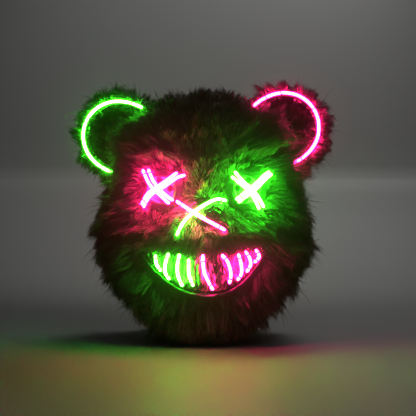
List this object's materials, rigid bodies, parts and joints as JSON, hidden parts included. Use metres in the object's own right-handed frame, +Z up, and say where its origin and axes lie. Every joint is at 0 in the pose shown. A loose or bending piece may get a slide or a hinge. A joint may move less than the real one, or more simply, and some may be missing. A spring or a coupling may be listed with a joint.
{
  "type": "bear mask",
  "caption": "Plush bear face mask with round ears, button eyes, a wrinkled nose and a wide grin under glowing wire strokes, standing on its chin, open at the back",
  "frame": {"origin": "the middle of the chin's flat underside between the sides, level with the widest outline of the face", "axes": "+X to the viewer's right from ear to ear, +Y from the face to the open back, +Z up from the chin to the crown"},
  "size_m": [0.3008, 0.1916, 0.2978],
  "materials": {
    "fur": "long dark brown pile, matt with a soft sheen",
    "shell": "plain moulded inside, matt",
    "lining": "short-napped dark cloth",
    "eye_mesh": "fine see-through mesh",
    "button": "moulded, glossy",
    "nose": "wrinkled, glossy",
    "panel": "thin creased sheet, glossy",
    "lip": "padded roll, semi-gloss",
    "wire_green": "glowing green tube",
    "wire_pink": "glowing pink tube",
    "strap": "woven elastic"
  },
  "bodies": {
    "root": {"ear_fur_left": "fur", "ear_fur_right": "fur", "ear_inner_left": "lining", "ear_inner_right": "lining", "ear_light_left": "wire_green", "ear_light_right": "wire_pink", "eye_button_left": "button", "eye_button_right": "button", "eye_light_left_1": "wire_pink", "eye_light_left_2": "wire_pink", "eye_light_left_3": "wire_pink", "eye_light_left_4": "wire_pink", "eye_light_right_1": "wire_green", "eye_light_right_2": "wire_green", "eye_light_right_3": "wire_green", "eye_light_right_4": "wire_green", "eye_patch_left": "eye_mesh", "eye_patch_right": "eye_mesh", "face_shell": "shell", "fur_coat": "fur", "head_strap": "strap", "mouth_lip": "lip", "mouth_panel": "panel", "nose_light_green": "wire_green", "nose_light_pink": "wire_pink", "nose_pad": "nose", "tooth_light_1": "wire_green", "tooth_light_2": "wire_green", "tooth_light_3": "wire_green", "tooth_light_4": "wire_green", "tooth_light_5": "wire_pink", "tooth_light_6": "wire_pink", "tooth_light_7": "wire_pink", "tooth_light_8": "wire_pink", "tooth_light_9": "wire_pink"}
  },
  "joints": []
}
